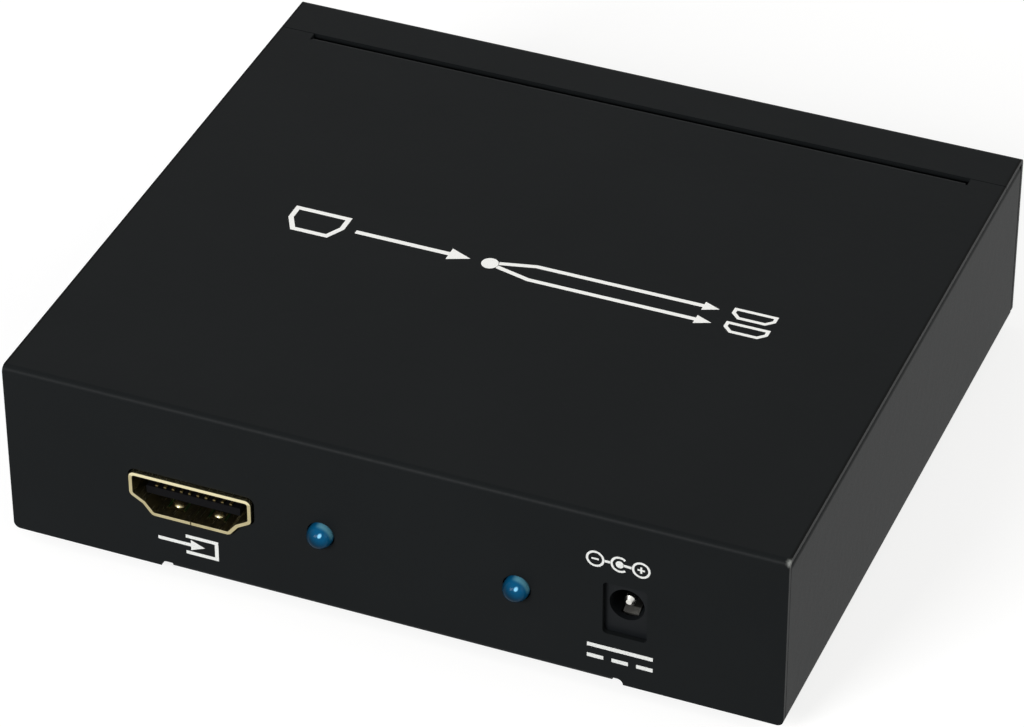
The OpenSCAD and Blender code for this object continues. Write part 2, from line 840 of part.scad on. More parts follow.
module jack_pin() {
  tip = jack_pin_d / 4;
  pin_l = jack_len - jack_pin_setback;
  color(bright_tin) placed() at_jack() {
    translate([0, jack_pin_setback, jack_axis]) rotate([-90, 0, 0]) rotate_extrude() polygon([
      [0, 0], [jack_pin_d / 2 - tip, 0], [jack_pin_d / 2, tip], [jack_pin_d / 2, pin_l], [0, pin_l]
    ]);
    jack_terminal(jack_len, jack_axis + jack_pin_d);
  }
}

module jack_leaf() {
  upper = [for (p = leaf_line) p + [0, leaf_t / 2]];
  lower = [for (i = [len(leaf_line) - 1 : -1 : 0]) leaf_line[i] - [0, leaf_t / 2]];
  color(bright_tin) placed() at_jack() translate([0, leaf_hinge_y, leaf_hinge_z])
    along_x(-leaf_w / 2, leaf_w / 2) {
      polygon(concat(upper, lower));
      circle(r = leaf_roll_r);
    }
}

module jack_leaf_terminal() {
  color(bright_tin) placed() at_jack() jack_terminal(leaf_terminal_y, leaf_hinge_z + leaf_roll_r);
}

module lamp() {
  color(lamp_blue) rotate([-90, 0, 0]) rotate_extrude() {
    intersection() {
      translate([0, lamp_d / 2]) circle(d = lamp_d);
      square(lamp_d / 2);
    }
    leg([0, lamp_d / 2], [lamp_d / 2, lamp_len]);
    leg([0, lamp_len - lamp_rim_h], [lamp_rim_d / 2, lamp_len]);
  }
}

module lamp_leads(lift) {
  color(bright_tin) both_sides() along_x(lead_pitch / 2 - lead_w / 2, lead_pitch / 2 + lead_w / 2) {
    leg([lamp_len, -lead_w / 2], [lamp_bend_y + lead_w, lead_w / 2]);
    leg([lamp_bend_y, -lift - lead_drop], [lamp_bend_y + lead_w, lead_w / 2]);
  }
}

// A sleeve that is open behind, where the lamp goes in, and below, where its leads go down
module lamp_holder(lift) {
  room = lamp_rim_d / 2 + lamp_gap;
  pocket = lamp_len - lamp_rim_h - lamp_gap;
  color(plastic_black) difference() {
    block([-holder_w / 2, holder_front, -lift], [holder_w / 2, holder_front + holder_d, holder_w / 2]);
    rotate([-90, 0, 0]) {
      cylinder(d = lamp_d + 2 * lamp_gap, h = lamp_len);
      translate([0, 0, pocket]) cylinder(r = room, h = holder_d + over);
    }
    block([-room, lamp_len, -lift - over], [room, holder_front + holder_d + over, 0]);
  }
}

module power_lamp() {
  placed() at_lamp(0) lamp();
}

module power_lamp_leads() {
  placed() at_lamp(0) lamp_leads(lamp_lift[0]);
}

module power_lamp_holder() {
  placed() at_lamp(0) lamp_holder(lamp_lift[0]);
}

module signal_lamp() {
  placed() at_lamp(1) lamp();
}

module signal_lamp_leads() {
  placed() at_lamp(1) lamp_leads(lamp_lift[1]);
}

module signal_lamp_holder() {
  placed() at_lamp(1) lamp_holder(lamp_lift[1]);
}

// A block of the size given, centred on a place and standing on the board
module on_board(place, size, lift = 0) {
  translate([place[0] - size[0] / 2, place[1] - size[1] / 2, board_top + lift]) cube(size);
}

module splitter_chip() {
  color(plastic_black) placed() on_board(chip_at, [chip_w, chip_w, chip_h]);
}

module thermal_pad() {
  color("lightsteelblue") placed() on_board(chip_at, [chip_w, chip_w, pad_t], chip_h);
}

module heat_sink() {
  fin_step = (sink_w - sink_fin_t) / (sink_fins - 1);
  fin_gap = fin_step - sink_fin_t;
  sink_under = chip_h + pad_t;
  color("silver") placed() difference() {
    on_board(chip_at, [sink_w, sink_w, sink_base_t + sink_fin_h], sink_under);
    for (i = [1 : sink_fins - 1])
      translate([chip_at[0] - sink_w / 2 + i * fin_step - fin_gap, chip_at[1] - sink_w / 2 - over,
        board_top + sink_under + sink_base_t]) cube([fin_gap, sink_w + 2 * over, sink_fin_h + over]);
  }
}

module memory_chips() {
  color(plastic_black) placed() for (place = memory_places) on_board(place, memory_size, memory_lift);
}

module memory_chip_legs() {
  color(bright_tin) placed()
    for (place = memory_places, turn = [0, 180], i = [-1.5 : 1 : 1.5])
      translate([place[0], place[1], board_top]) rotate(turn)
        translate([i * memory_leg_pitch, memory_size[1] / 2, 0]) along_x(-memory_leg_w / 2, memory_leg_w / 2)
          dropped_lead(leg_run, leg_z, leg_t, leg_foot);
}

module crystal() {
  straight = crystal_l - crystal_w;
  color("silver") placed() translate([crystal_at[0], crystal_at[1], board_top]) {
    linear_extrude(crystal_h) capsule(straight, crystal_w);
    linear_extrude(crystal_foot_t) capsule(straight, crystal_w + 2 * crystal_foot_out);
  }
}

module capsule(straight, width) {
  leg([-straight / 2, -width / 2], [straight / 2, width / 2]);
  for (x = [-straight / 2, straight / 2]) translate([x, 0]) circle(d = width);
}

module regulator_body() {
  color(plastic_black) placed() on_board(regulator_at, regulator_size, memory_lift);
}

module regulator_legs() {
  color(bright_tin) placed() translate([regulator_at[0], regulator_at[1], board_top]) {
    for (i = [-1 : 1])
      translate([i * regulator_leg_pitch, regulator_size[1] / 2, 0])
        along_x(-regulator_leg_w / 2, regulator_leg_w / 2) dropped_lead(leg_run, leg_z, leg_t, leg_foot);
    rotate(180) translate([0, regulator_size[1] / 2, 0])
      along_x(-regulator_tab_w / 2, regulator_tab_w / 2) dropped_lead(leg_run, leg_z, leg_t, leg_foot);
  }
}

module power_inductor() {
  groove = coil_w / 12;
  color([0.2, 0.2, 0.21]) placed() difference() {
    on_board(coil_at, [coil_w, coil_w, coil_h]);
    translate([coil_at[0], coil_at[1], board_top + coil_h - groove]) difference() {
      cylinder(d = coil_w - 2 * groove, h = groove + over);
      translate([0, 0, -over]) cylinder(d = coil_w - 4 * groove, h = groove + 3 * over);
    }
  }
}

// The outline of half a can: a round top edge, and the bead rolled in above the base
module can_profile() {
  edge_x = can_d / 2 - can_edge_r;
  difference() {
    union() {
      leg([0, 0], [can_d / 2, can_h - can_edge_r]);
      leg([0, 0], [edge_x, can_h]);
      translate([edge_x, can_h - can_edge_r]) intersection() {
        circle(r = can_edge_r);
        square(can_edge_r);
      }
    }
    translate([can_d / 2 + can_bead_r / 2, can_bead_z]) circle(r = can_bead_r);
  }
}

module capacitor_cans() {
  color("silver") placed()
    for (place = can_places)
      translate([place[0], place[1], board_top + can_base_t]) rotate_extrude() can_profile();
}

module capacitor_bases() {
  color(plastic_black) placed()
    for (place = can_places) on_board(place, [can_base_w, can_base_w, can_base_t]);
}

// Two rows of bypass capacitors beside the heat sink
module ceramic_capacitors() {
  row_y = sink_w / 2 + bypass_gap;
  color("tan") placed()
    for (side = [-1, 1], i = [0 : bypass_count - 1])
      on_board(chip_at + [(i - (bypass_count - 1) / 2) * bypass_pitch, side * row_y], ceramic_size);
}

// A row of series resistors behind each socket's contacts
module chip_resistors() {
  row_y = socket_len + contact_foot + series_gap;
  color([0.1, 0.1, 0.1]) placed()
    for (s = [0 : 2], i = [0 : series_count - 1]) at_socket(s)
      translate([(i - (series_count - 1) / 2) * series_pitch - resistor_size[0] / 2, row_y, 0])
        cube(resistor_size);
}

cover();
base_pan();
circuit_board();
board_standoffs();
board_screws();
cover_screws();
clinch_nuts();
rubber_feet();
input_shell();
input_insulator();
input_contacts();
output_1_shell();
output_1_insulator();
output_1_contacts();
output_2_shell();
output_2_insulator();
output_2_contacts();
jack_body();
jack_pin();
jack_leaf();
jack_leaf_terminal();
power_lamp();
power_lamp_leads();
power_lamp_holder();
signal_lamp();
signal_lamp_leads();
signal_lamp_holder();
splitter_chip();
thermal_pad();
heat_sink();
memory_chips();
memory_chip_legs();
crystal();
regulator_body();
regulator_legs();
power_inductor();
capacitor_cans();
capacitor_bases();
ceramic_capacitors();
chip_resistors();
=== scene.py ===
# %% [markdown]
# # Dressing a two-way video splitter
# The object is a flat black box of folded sheet steel, with a gold-rimmed socket, two blue lamps and a small power
# jack in its front wall. Its solids come from a CAD model and are loaded here as a fixed frame. They already have
# the right shapes and move on the right joints, so this lesson gives each one a finish, and then adds the fine
# pieces that are easier to make in Blender: lenses, printed marks, solder and copper tracks.

# %% Load the frame
import math

import bmesh
import bpy
from mathutils import Matrix, Vector


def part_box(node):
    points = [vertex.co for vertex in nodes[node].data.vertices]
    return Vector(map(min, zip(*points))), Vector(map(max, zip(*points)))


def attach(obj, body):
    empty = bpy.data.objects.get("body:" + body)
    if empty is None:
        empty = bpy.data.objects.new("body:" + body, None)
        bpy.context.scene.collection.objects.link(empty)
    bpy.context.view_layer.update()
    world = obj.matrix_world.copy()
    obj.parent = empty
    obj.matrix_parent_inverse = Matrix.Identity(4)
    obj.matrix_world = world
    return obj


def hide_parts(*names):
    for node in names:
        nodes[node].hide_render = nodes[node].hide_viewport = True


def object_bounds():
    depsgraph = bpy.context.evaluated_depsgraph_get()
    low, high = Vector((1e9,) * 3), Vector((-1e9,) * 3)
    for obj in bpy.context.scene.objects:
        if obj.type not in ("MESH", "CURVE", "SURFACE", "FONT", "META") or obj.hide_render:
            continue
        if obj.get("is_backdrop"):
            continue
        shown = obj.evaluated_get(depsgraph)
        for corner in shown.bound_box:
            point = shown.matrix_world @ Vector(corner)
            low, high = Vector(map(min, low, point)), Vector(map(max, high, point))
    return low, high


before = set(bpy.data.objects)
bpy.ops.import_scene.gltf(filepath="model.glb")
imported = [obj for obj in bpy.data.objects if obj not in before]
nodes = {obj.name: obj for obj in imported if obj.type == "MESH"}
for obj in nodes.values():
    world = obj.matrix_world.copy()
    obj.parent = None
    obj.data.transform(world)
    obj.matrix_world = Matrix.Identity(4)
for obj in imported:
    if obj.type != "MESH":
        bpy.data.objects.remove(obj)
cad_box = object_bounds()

MM = 0.001
print("box in mm:", [[round(v / MM, 2) for v in corner] for corner in cad_box])

# %% [markdown]
# ## Shader maths as Python
# A finish is a tree of nodes. Drawing one by hand is slow, and a script that adds every Math node by name is hard
# to read. So one small class wraps a node's output: a sum written on it adds the Math nodes for us, and
# `1 - mask` reads as what it does.

# %% A socket that does sums
class Wire:
    """The output of a shader node, on which Python's operators add Math nodes."""

    def __init__(self, tree, socket):
        self.tree = tree
        self.socket = socket

    def maths(self, operation, *values):
        return self.tree.node("ShaderNodeMath", {"operation": operation}, dict(enumerate(values)))

    def __add__(self, other):
        return self.maths("ADD", self, other)

    def __radd__(self, other):
        return self.maths("ADD", other, self)

    def __sub__(self, other):
        return self.maths("SUBTRACT", self, other)

    def __rsub__(self, other):
        return self.maths("SUBTRACT", other, self)

    def __mul__(self, other):
        return self.maths("MULTIPLY", self, other)

    def __gt__(self, other):
        return self.maths("GREATER_THAN", self, other)

    def __abs__(self):
        return self.maths("ABSOLUTE", self)


print("operators on a wire: + - * > abs")

# %% [markdown]
# Every other node comes from one method. It takes the node's type, then its settings, then what goes into its
# sockets: a plain value, or a wire from another node.

# %% A tree of nodes
class NodeTree:
    """A node tree that is filled by one method."""

    def __init__(self, tree):
        self.tree = tree

    def node(self, kind, settings=None, sockets=None, out=0):
        made = self.tree.nodes.new(kind)
        for name, value in (settings or {}).items():
            setattr(made, name, value)
        self.fill(made, sockets or {})
        return Wire(self, made.outputs[out]) if made.outputs else made

    def fill(self, made, sockets):
        for key, value in sockets.items():
            if isinstance(value, Wire):
                self.tree.links.new(value.socket, made.inputs[key])
            else:
                made.inputs[key].default_value = value


print("a node is made from its type, its settings and its sockets")

# %% [markdown]
# ## What all finishes share
# Every pattern is placed by the object's own coordinates, turned into millimetres, so that a grain of 0.2 mm is
# 0.2 mm on every piece and stays on it when the piece moves. Colours are written as they look on a screen and
# turned into the linear numbers that a shader needs.

# %% A finish
def colour(hexadecimal):
    """A screen colour such as 20222a as a linear colour with alpha."""
    parts = [int(hexadecimal[i:i + 2], 16) / 255 for i in (0, 2, 4)]
    return tuple(p / 12.92 if p <= 0.04045 else ((p + 0.055) / 1.055) ** 2.4 for p in parts) + (1.0,)


class Finish(NodeTree):
    """A material with one Principled shader and the patterns that several finishes use."""

    def __init__(self, name):
        self.material = bpy.data.materials.new(name)
        self.material.use_nodes = True
        super().__init__(self.material.node_tree)
        self.shader = self.tree.nodes["Principled BSDF"]
        place = self.node("ShaderNodeTexCoord", out="Object")
        self.place = self.node("ShaderNodeVectorMath", {"operation": "SCALE"}, {0: place, "Scale": 1 / MM})

    def noise(self, size, detail=2.0, stretch=(1.0, 1.0, 1.0)):
        """Values around 0.5 in patches of about size millimetres, drawn out by stretch along X, Y and Z."""
        shrink = [1 / (size * s) for s in stretch]
        place = self.node("ShaderNodeVectorMath", {"operation": "MULTIPLY"}, {0: self.place, 1: shrink})
        return self.node("ShaderNodeTexNoise", None, {"Vector": place, "Scale": 1.0, "Detail": detail})

    def axis(self, letter):
        return self.node("ShaderNodeSeparateXYZ", None, {0: self.place}, out=letter)

    def mix(self, share, first, second):
        return self.node("ShaderNodeMix", {"data_type": "RGBA"}, {0: share, 6: first, 7: second}, out=2)

    def step(self, value, low, high):
        """0 below low and 1 above high, with a smooth ramp between."""
        return self.node("ShaderNodeMapRange", {"interpolation_type": "SMOOTHSTEP"},
                         {0: value, 1: low, 2: high, 3: 0.0, 4: 1.0})

    def relief(self, height, depth):
        """A surface whose heights from 0 to 1 stand for depth millimetres."""
        return self.node("ShaderNodeBump", None, {"Strength": 1.0, "Distance": depth * MM, "Height": height})

    def paint(self, **sockets):
        self.fill(self.shader, {name.replace("_", " "): value for name, value in sockets.items()})

    def put_on(self, *names):
        for name in names:
            nodes[name].data.materials.clear()
            nodes[name].data.materials.append(self.material)
        print(self.material.name, "on", ", ".join(names))


print("mid grey on a screen is", round(colour("808080")[0], 3), "in a shader")

# %% [markdown]
# ## The camera
# The photograph's camera was solved from the edges of the box: it stands well back with a long lens, a little to
# the right and above. The same place, turn and lens are typed in here, so the render can be laid over the photo.

# %% Place the camera
def mm(*values):
    return Vector(values) * MM


lens = bpy.data.cameras.new("camera")
lens.sensor_width = 36.0
lens.lens = 170.907
camera = bpy.data.objects.new("camera", lens)
bpy.context.scene.collection.objects.link(camera)
turn = Matrix.Rotation(math.radians(22.2736), 4, "Z")
tilt = Matrix.Rotation(math.radians(90 - 36.5146), 4, "X")
roll = Matrix.Rotation(math.radians(-0.1586), 4, "Z")
camera.matrix_world = Matrix.Translation(mm(169.006, -416.723, 342.661)) @ turn @ tilt @ roll
bpy.context.scene.camera = camera
bpy.context.scene.view_settings.view_transform = "Standard"
print("camera", round(camera.location.length / MM), "mm from the origin")

# %% [markdown]
# ## Floor and light
# The photo has a plain white ground. A floor that is lit until it is white would light the box from below as well,
# so the floor glows only for rays from the camera, from mirrors and through glass. Its own diffuse part keeps the
# box's shadow. The world is white for the same rays and dimmer as a light.

# %% The floor
def straight_rays(tree):
    """1 for rays from the camera, off gloss and through glass."""
    camera_ray = tree.node("ShaderNodeLightPath", out="Is Camera Ray")
    gloss_ray = tree.node("ShaderNodeLightPath", out="Is Glossy Ray")
    glass_ray = tree.node("ShaderNodeLightPath", out="Is Transmission Ray")
    return camera_ray.maths("MAXIMUM", camera_ray, gloss_ray.maths("MAXIMUM", gloss_ray, glass_ray))


paper = bpy.data.materials.new("white_paper")
paper.use_nodes = True
paper.node_tree.nodes.clear()
tree = NodeTree(paper.node_tree)
matte = tree.node("ShaderNodeBsdfDiffuse", None, {"Color": colour("9c9c9c")})
glow = tree.node("ShaderNodeEmission", None, {"Color": (1, 1, 1, 1), "Strength": straight_rays(tree) * 0.75})
both = tree.node("ShaderNodeAddShader", None, {0: matte, 1: glow})
tree.node("ShaderNodeOutputMaterial", None, {"Surface": both})

sheet = bpy.data.meshes.new("floor")
sheet.from_pydata([(-3, -3, 0), (3, -3, 0), (3, 3, 0), (-3, 3, 0)], [], [(0, 1, 2, 3)])
sheet.materials.append(paper)
floor = bpy.data.objects.new("floor", sheet)
bpy.context.scene.collection.objects.link(floor)
floor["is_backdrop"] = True
print("floor of white paper, 6 m wide")

# %% [markdown]
# The main softbox stands in front, a little to the left, because the photo shows its glint on the lamps there and a
# soft sheen along the front bend. Weaker ones fill the right wall, the left wall and the rear.

# %% The lights
world = bpy.data.worlds.new("studio")
bpy.context.scene.world = world
world.use_nodes = True
tree = NodeTree(world.node_tree)
tree.fill(world.node_tree.nodes["Background"],
          {"Color": (1, 1, 1, 1), "Strength": straight_rays(tree) * 0.7 + 0.3})


def softbox(name, place, size, watts, tint=(1, 1, 1)):
    """A square light that faces the middle of the box."""
    lamp = bpy.data.lights.new(name, "AREA")
    lamp.color = tint
    lamp.size = size * MM
    lamp.energy = watts
    stand = bpy.data.objects.new(name, lamp)
    bpy.context.scene.collection.objects.link(stand)
    aim = mm(0, 0, 12) - mm(*place)
    stand.matrix_world = Matrix.Translation(mm(*place)) @ aim.to_track_quat("-Z", "Y").to_matrix().to_4x4()


softbox("front_light", (-170, -520, 275), 240, 3.4)
softbox("right_light", (600, -60, 250), 420, 1.5, (1.0, 0.98, 0.86))
softbox("left_light", (-560, 60, 360), 380, 0.4)
softbox("rear_light", (330, 560, 160), 300, 1.6)
print("four softboxes around the box")

# %% [markdown]
# ## The case
# Cover and base pan are folded from thin steel and powder coated in matte black. The coat is a fine plastic skin:
# close up it has grains of a fifth of a millimetre, and under them the slow swell that painters call orange peel.
# Both go into the bump, and the grain varies the gloss, which gives the soft broken sheen of such a coat. The top is
# painted darker along its sides, as painted shade for the groove beside them, and its right front corner has a
# painted glint of pale grey.

# %% Black powder coat
coat = Finish("black_powder_coat")
grain = coat.noise(0.22, 3.0)
peel = coat.noise(1.3, 1.0)
cloud = coat.noise(16, 2.0)
cover_low, cover_high = (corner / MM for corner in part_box("cover"))
# Painted shade: the top is painted darker along its two sides, where the groove beside the side walls lies in shade.
edge_shade_from, edge_shade_full = 0.4, 0.15
beside_edge = coat.step(abs(coat.axis("X")), cover_high.x - edge_shade_from, cover_high.x - edge_shade_full)
darker = beside_edge * (coat.axis("Z") > cover_high.z - 0.05)
# Painted glint: a pale grey spot painted on the top's right front corner, where the end of the bend catches the
# light.
corner = Vector((cover_high.x, cover_low.y + 0.3, cover_high.z - 0.25))
from_corner = coat.node("ShaderNodeVectorMath", {"operation": "DISTANCE"}, {0: coat.place, 1: corner}, out="Value")
glint_inside, glint_outside = 0.35, 0.9
painted_glint = 1 - coat.step(from_corner + grain * 0.5, glint_inside, glint_outside)
black = coat.mix(darker, coat.mix(cloud, colour("141617"), colour("181a1b")), colour("0a0b0b"))
coat.paint(
    Base_Color=coat.mix(painted_glint, black, colour("777977")),
    Roughness=0.34 + grain * 0.12,
    Specular_IOR_Level=0.031,
    Normal=coat.relief(grain * 0.5 + peel, 0.012),
)
coat.put_on("cover", "base_pan")

# %% Rubber feet and dark screws
rubber = Finish("black_rubber")
fine = rubber.noise(0.35, 4.0)
rubber.paint(
    Base_Color=rubber.mix(rubber.noise(3, 3.0), colour("141414"), colour("1e1d1c")),
    Roughness=0.7 + fine * 0.2,
    Specular_IOR_Level=0.2,
    Normal=rubber.relief(fine, 0.02),
)
rubber.put_on("rubber_feet")

oxide = Finish("black_oxide")
oxide.paint(
    Base_Color=oxide.mix(oxide.noise(0.9, 3.0), colour("1c1b1a"), colour("34312e")),
    Metallic=0.8,
    Roughness=0.34 + oxide.noise(0.4, 2.0) * 0.2,
    Normal=oxide.relief(oxide.noise(0.12, 2.0), 0.006),
)
oxide.put_on("cover_screws")

# %% [markdown]
# ## Gold and black plastic
# The sockets' shells are thin steel with a flash of pale gold. Rolled sheet is never quite smooth, so faint streaks
# run along the socket, and the gold is a little redder where it is thin. The upper lip has a painted highlight: its
# gold is painted paler where light from above falls on it. The contacts are rougher and duller, and their gold is
# painted darker as painted shade for their place deep in the socket. The tongue that holds them is black moulded
# plastic.

# %% Gold plate
shell_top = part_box("input_shell")[1].z / MM
LIP_HIGHLIGHT_FROM, LIP_HIGHLIGHT_FULL = 0.6, 0.35


def gilded(name, full, bare, gloss, lip_highlight=None):
    """Thin gold over a stamped metal, with the streaks of rolling along the socket and, if given, a painted
    highlight on the upper lip.
    """
    made = Finish(name)
    streak = made.noise(0.12, 2.0, stretch=(1, 14, 1))
    gold = made.mix(made.noise(1.8, 3.0), colour(full), colour(bare))
    if lip_highlight:
        # Painted highlight: the upper lip is painted a paler gold, where light from above falls on it.
        lip_highlight_share = made.step(made.axis("Z"), shell_top - LIP_HIGHLIGHT_FROM, shell_top - LIP_HIGHLIGHT_FULL)
        gold = made.mix(lip_highlight_share, gold, colour(lip_highlight))
    made.paint(
        Base_Color=gold,
        Metallic=1.0,
        Roughness=gloss + streak * 0.05,
        Normal=made.relief(streak, 0.0008),
    )
    return made


plate = gilded("gold_plate", "cbc19c", "a4986e", 0.24, lip_highlight="e6dcb4")
plate.put_on("input_shell", "output_1_shell", "output_2_shell")
# Painted shade: the contacts' gold is painted darker for their place deep in the socket; the higher roughness is
# their own.
darkened_contacts = gilded("contact_gold_painted_darker", "a08f62", "7c6b43", 0.3)
darkened_contacts.put_on("input_contacts", "output_1_contacts", "output_2_contacts")

# %% Moulded plastic
def moulded(name, dark, light, gloss, shine=0.12):
    """A moulded plastic or resin with the faint texture of its mould."""
    made = Finish(name)
    skin = made.noise(0.18, 3.0)
    made.paint(
        Base_Color=made.mix(made.noise(2.2, 2.0), colour(dark), colour(light)),
        Roughness=gloss + skin * 0.18,
        Specular_IOR_Level=shine,
        Normal=made.relief(skin, 0.006),
    )
    return made


moulded("tongue_plastic", "08080a", "0d0d0f", 0.42, 0.04).put_on(
    "input_insulator", "output_1_insulator", "output_2_insulator", "power_lamp_holder", "signal_lamp_holder",
    "capacitor_bases")
moulded("jack_plastic", "101214", "151719", 0.34, 0.08).put_on("jack_body")
moulded("chip_resin", "1d1e20", "27282a", 0.55).put_on("splitter_chip", "memory_chips", "regulator_body")

# %% Plated metals
def plated(name, dark, light, gloss, streaks=(1, 1, 1), depth=0.004):
    """A bright metal with fine marks that may run one way."""
    made = Finish(name)
    marks = made.noise(0.16, 3.0, stretch=streaks)
    made.paint(
        Base_Color=made.mix(made.noise(1.6, 3.0), colour(dark), colour(light)),
        Metallic=1.0,
        Roughness=gloss + marks * 0.16,
        Normal=made.relief(marks, depth),
    )
    return made


tin = plated("bright_tin", "c9c8c2", "e6e5e0", 0.14)
tin.put_on("jack_pin", "power_lamp_leads", "signal_lamp_leads", "memory_chip_legs", "regulator_legs")
plated("spring_steel", "72716d", "8a8985", 0.34, (1, 8, 1)).put_on("jack_leaf", "jack_leaf_terminal")
plated("zinc_plate", "b4b3ab", "d3d3cf", 0.24).put_on("board_standoffs", "board_screws", "clinch_nuts", "crystal")
plated("extruded_aluminium", "aeb0b2", "cdced0", 0.26, (1, 18, 1), 0.01).put_on("heat_sink")
plated("drawn_aluminium", "b9bbbd", "dadbdc", 0.2).put_on("capacitor_cans")
moulded("ferrite", "2f2f31", "3d3d3f", 0.62).put_on("power_inductor")
moulded("filled_silicone", "7f8fa0", "93a1b0", 0.7).put_on("thermal_pad")

# %% [markdown]
# ## The board's laminate
# A circuit board is glass cloth in resin under a green mask. The mask is glossy and shows a trace of the weave, and
# the sawn edge shows the bare laminate, which is straw coloured. The edge is found by place: it is where the board
# ends.

# %% Green solder mask
board_low, board_high = (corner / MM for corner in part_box("circuit_board"))
SAW_DEPTH = 0.02


def masked(name, dark, light):
    """Solder mask, with the bare laminate along the board's sawn edge."""
    made = Finish(name)
    weave = made.noise(0.5, 2.0)
    half = (board_high - board_low) / 2
    off_x = abs(made.axis("X"))
    off_y = abs(made.axis("Y") - (board_low.y + half.y))
    end_x, end_y = off_x > half.x - SAW_DEPTH, off_y > half.y - SAW_DEPTH
    sawn = end_x.maths("MAXIMUM", end_x, end_y)
    green = made.mix(made.noise(6, 3.0), colour(dark), colour(light))
    made.paint(
        Base_Color=made.mix(sawn, green, made.mix(weave, colour("8d8454"), colour("a89c69"))),
        Roughness=0.26 + weave * 0.16 + sawn * 0.3,
        Coat_Weight=0.3 - sawn * 0.3,
        Specular_IOR_Level=0.3,
        Normal=made.relief(weave, 0.01),
    )
    return made


masked("green_solder_mask", "0b4426", "12552f").put_on("circuit_board")
over_copper = masked("mask_over_copper", "1a6a3c", "237a47")
print("board", [round(v, 2) for v in board_high - board_low], "mm")

# %% [markdown]
# ## Lenses of the lamps
# A lamp is cast in blue resin: a round dome, a straight barrel and a rim at the back. A finer turned mesh replaces
# the plain CAD solid. Its colour carries painted light and shade: the deep blue is painted darker towards the lower
# left and lighter towards the upper right, a pale crescent at the upper right is painted light, and a small bright
# spot is a painted highlight. All are drawn by place, measured from the lamp's axis and its tip.

# %% Gather points and faces
class Shape:
    """The points and faces of one piece, in millimetres, with a finish number for each face."""

    def __init__(self):
        self.points = []
        self.faces = []
        self.finishes = []

    def add(self, points, faces, place=Matrix(), finish=0):
        first = len(self.points)
        self.points += [place @ Vector(p) for p in points]
        self.faces += [[first + i for i in face] for face in faces]
        self.finishes += [finish] * len(faces)

    def turned(self, profile, place, steps=48):
        """A profile of (radius, height) turned about Z. It starts and ends on the axis and runs upwards."""
        points = [(0, 0, profile[0][1])]
        for radius, height in profile[1:-1]:
            for i in range(steps):
                angle = 2 * math.pi * i / steps
                points.append((radius * math.cos(angle), radius * math.sin(angle), height))
        points.append((0, 0, profile[-1][1]))
        faces = []
        rows = len(profile) - 2
        for i in range(steps):
            after = (i + 1) % steps
            faces.append((0, 1 + after, 1 + i))
            for row in range(rows - 1):
                low, high = 1 + row * steps, 1 + (row + 1) * steps
                faces.append((low + i, low + after, high + after, high + i))
            last = 1 + (rows - 1) * steps
            faces.append((last + i, last + after, len(points) - 1))
        self.add(points, faces, place)

    def prism(self, outline, height):
        """A flat outline, counterclockwise, raised by height."""
        n = len(outline)
        points = [(x, y, 0) for x, y in outline] + [(x, y, height) for x, y in outline]
        faces = [tuple(range(n - 1, -1, -1)), tuple(range(n, 2 * n))]
        faces += [(i, (i + 1) % n, n + (i + 1) % n, n + i) for i in range(n)]
        self.add(points, faces)

    def block(self, low, high, edge, finish=0):
        """A block between two corners, with its edges rounded by that radius."""
        low, high = Vector(low), Vector(high)
        solid = bmesh.new()
        bmesh.ops.create_cube(solid, size=1.0)
        size = Matrix.Diagonal((*(high - low), 1.0))
        bmesh.ops.transform(solid, matrix=Matrix.Translation((low + high) / 2) @ size, verts=solid.verts)
        bmesh.ops.bevel(solid, geom=solid.edges[:], offset=edge, segments=2, profile=0.5, affect="EDGES")
        solid.verts.index_update()
        self.add([v.co for v in solid.verts], [[v.index for v in f.verts] for f in solid.faces], finish=finish)
        solid.free()

    def piece(self, name, body, slot, finishes, smooth=40):
        mesh = bpy.data.meshes.new(name)
        mesh.from_pydata([p * MM for p in self.points], [], self.faces)
        for finish in finishes:
            mesh.materials.append(finish.material)
        mesh.polygons.foreach_set("material_index", self.finishes)
        mesh.shade_smooth()
        mesh.set_sharp_from_angle(angle=math.radians(smooth))
        made = bpy.data.objects.new(name, mesh)
        bpy.context.scene.collection.objects.link(made)
        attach(made, body)
        print(name, "on", body, "-", len(self.faces), "faces")
        return made


# %% The resin
def cast_resin(name, tip):
    """Blue resin of a lamp whose tip is at that point, with painted light and shade in its colour."""
    made = Finish(name)
    swirl = made.noise(0.5, 2.0)
    x, y, z = (made.axis(letter) - start for letter, start in zip("XYZ", tip))
    upper_right = x * 0.64 + z * 0.77
    # Painted light: a pale crescent painted at the upper right, towards the dome's base.
    painted_crescent_light = made.step(y, 0.85, 1.35) * made.step(upper_right, 0.75, 1.35)
    beside, above = x - 0.45, z - 0.88
    # Painted highlight: a small bright spot painted on the dome, above and right of the axis.
    painted_highlight = 1 - made.step(beside * beside + above * above, 0.005, 0.07)
    # Painted shade: the blue is painted darker towards the lower left and lighter towards the upper right.
    body = made.mix(made.step(upper_right, -0.5, 1.3), colour("032436"), colour("065078"))
    made.paint(
        Base_Color=made.mix(painted_highlight, made.mix(painted_crescent_light, body, colour("5590a6")), colour("86cdf2")),
        Roughness=0.08 + swirl * 0.05,
        Specular_IOR_Level=0.04,
        Normal=made.relief(swirl, 0.004),
    )
    return made


lamp_tips = {}
for lamp in ("power_lamp", "signal_lamp"):
    low, high = (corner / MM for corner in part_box(lamp))
    lamp_tips[lamp] = Vector(((low.x + high.x) / 2, low.y, (low.z + high.z) / 2))
    print(lamp, "has its tip at", [round(v, 2) for v in lamp_tips[lamp]])

# %% The lenses
def dome(radius, count):
    """The profile of a dome of that radius, from its tip down to its equator."""
    angles = [math.pi / 2 * i / count for i in range(count + 1)]
    return [(radius * math.sin(a), radius * (1 - math.cos(a))) for a in angles]


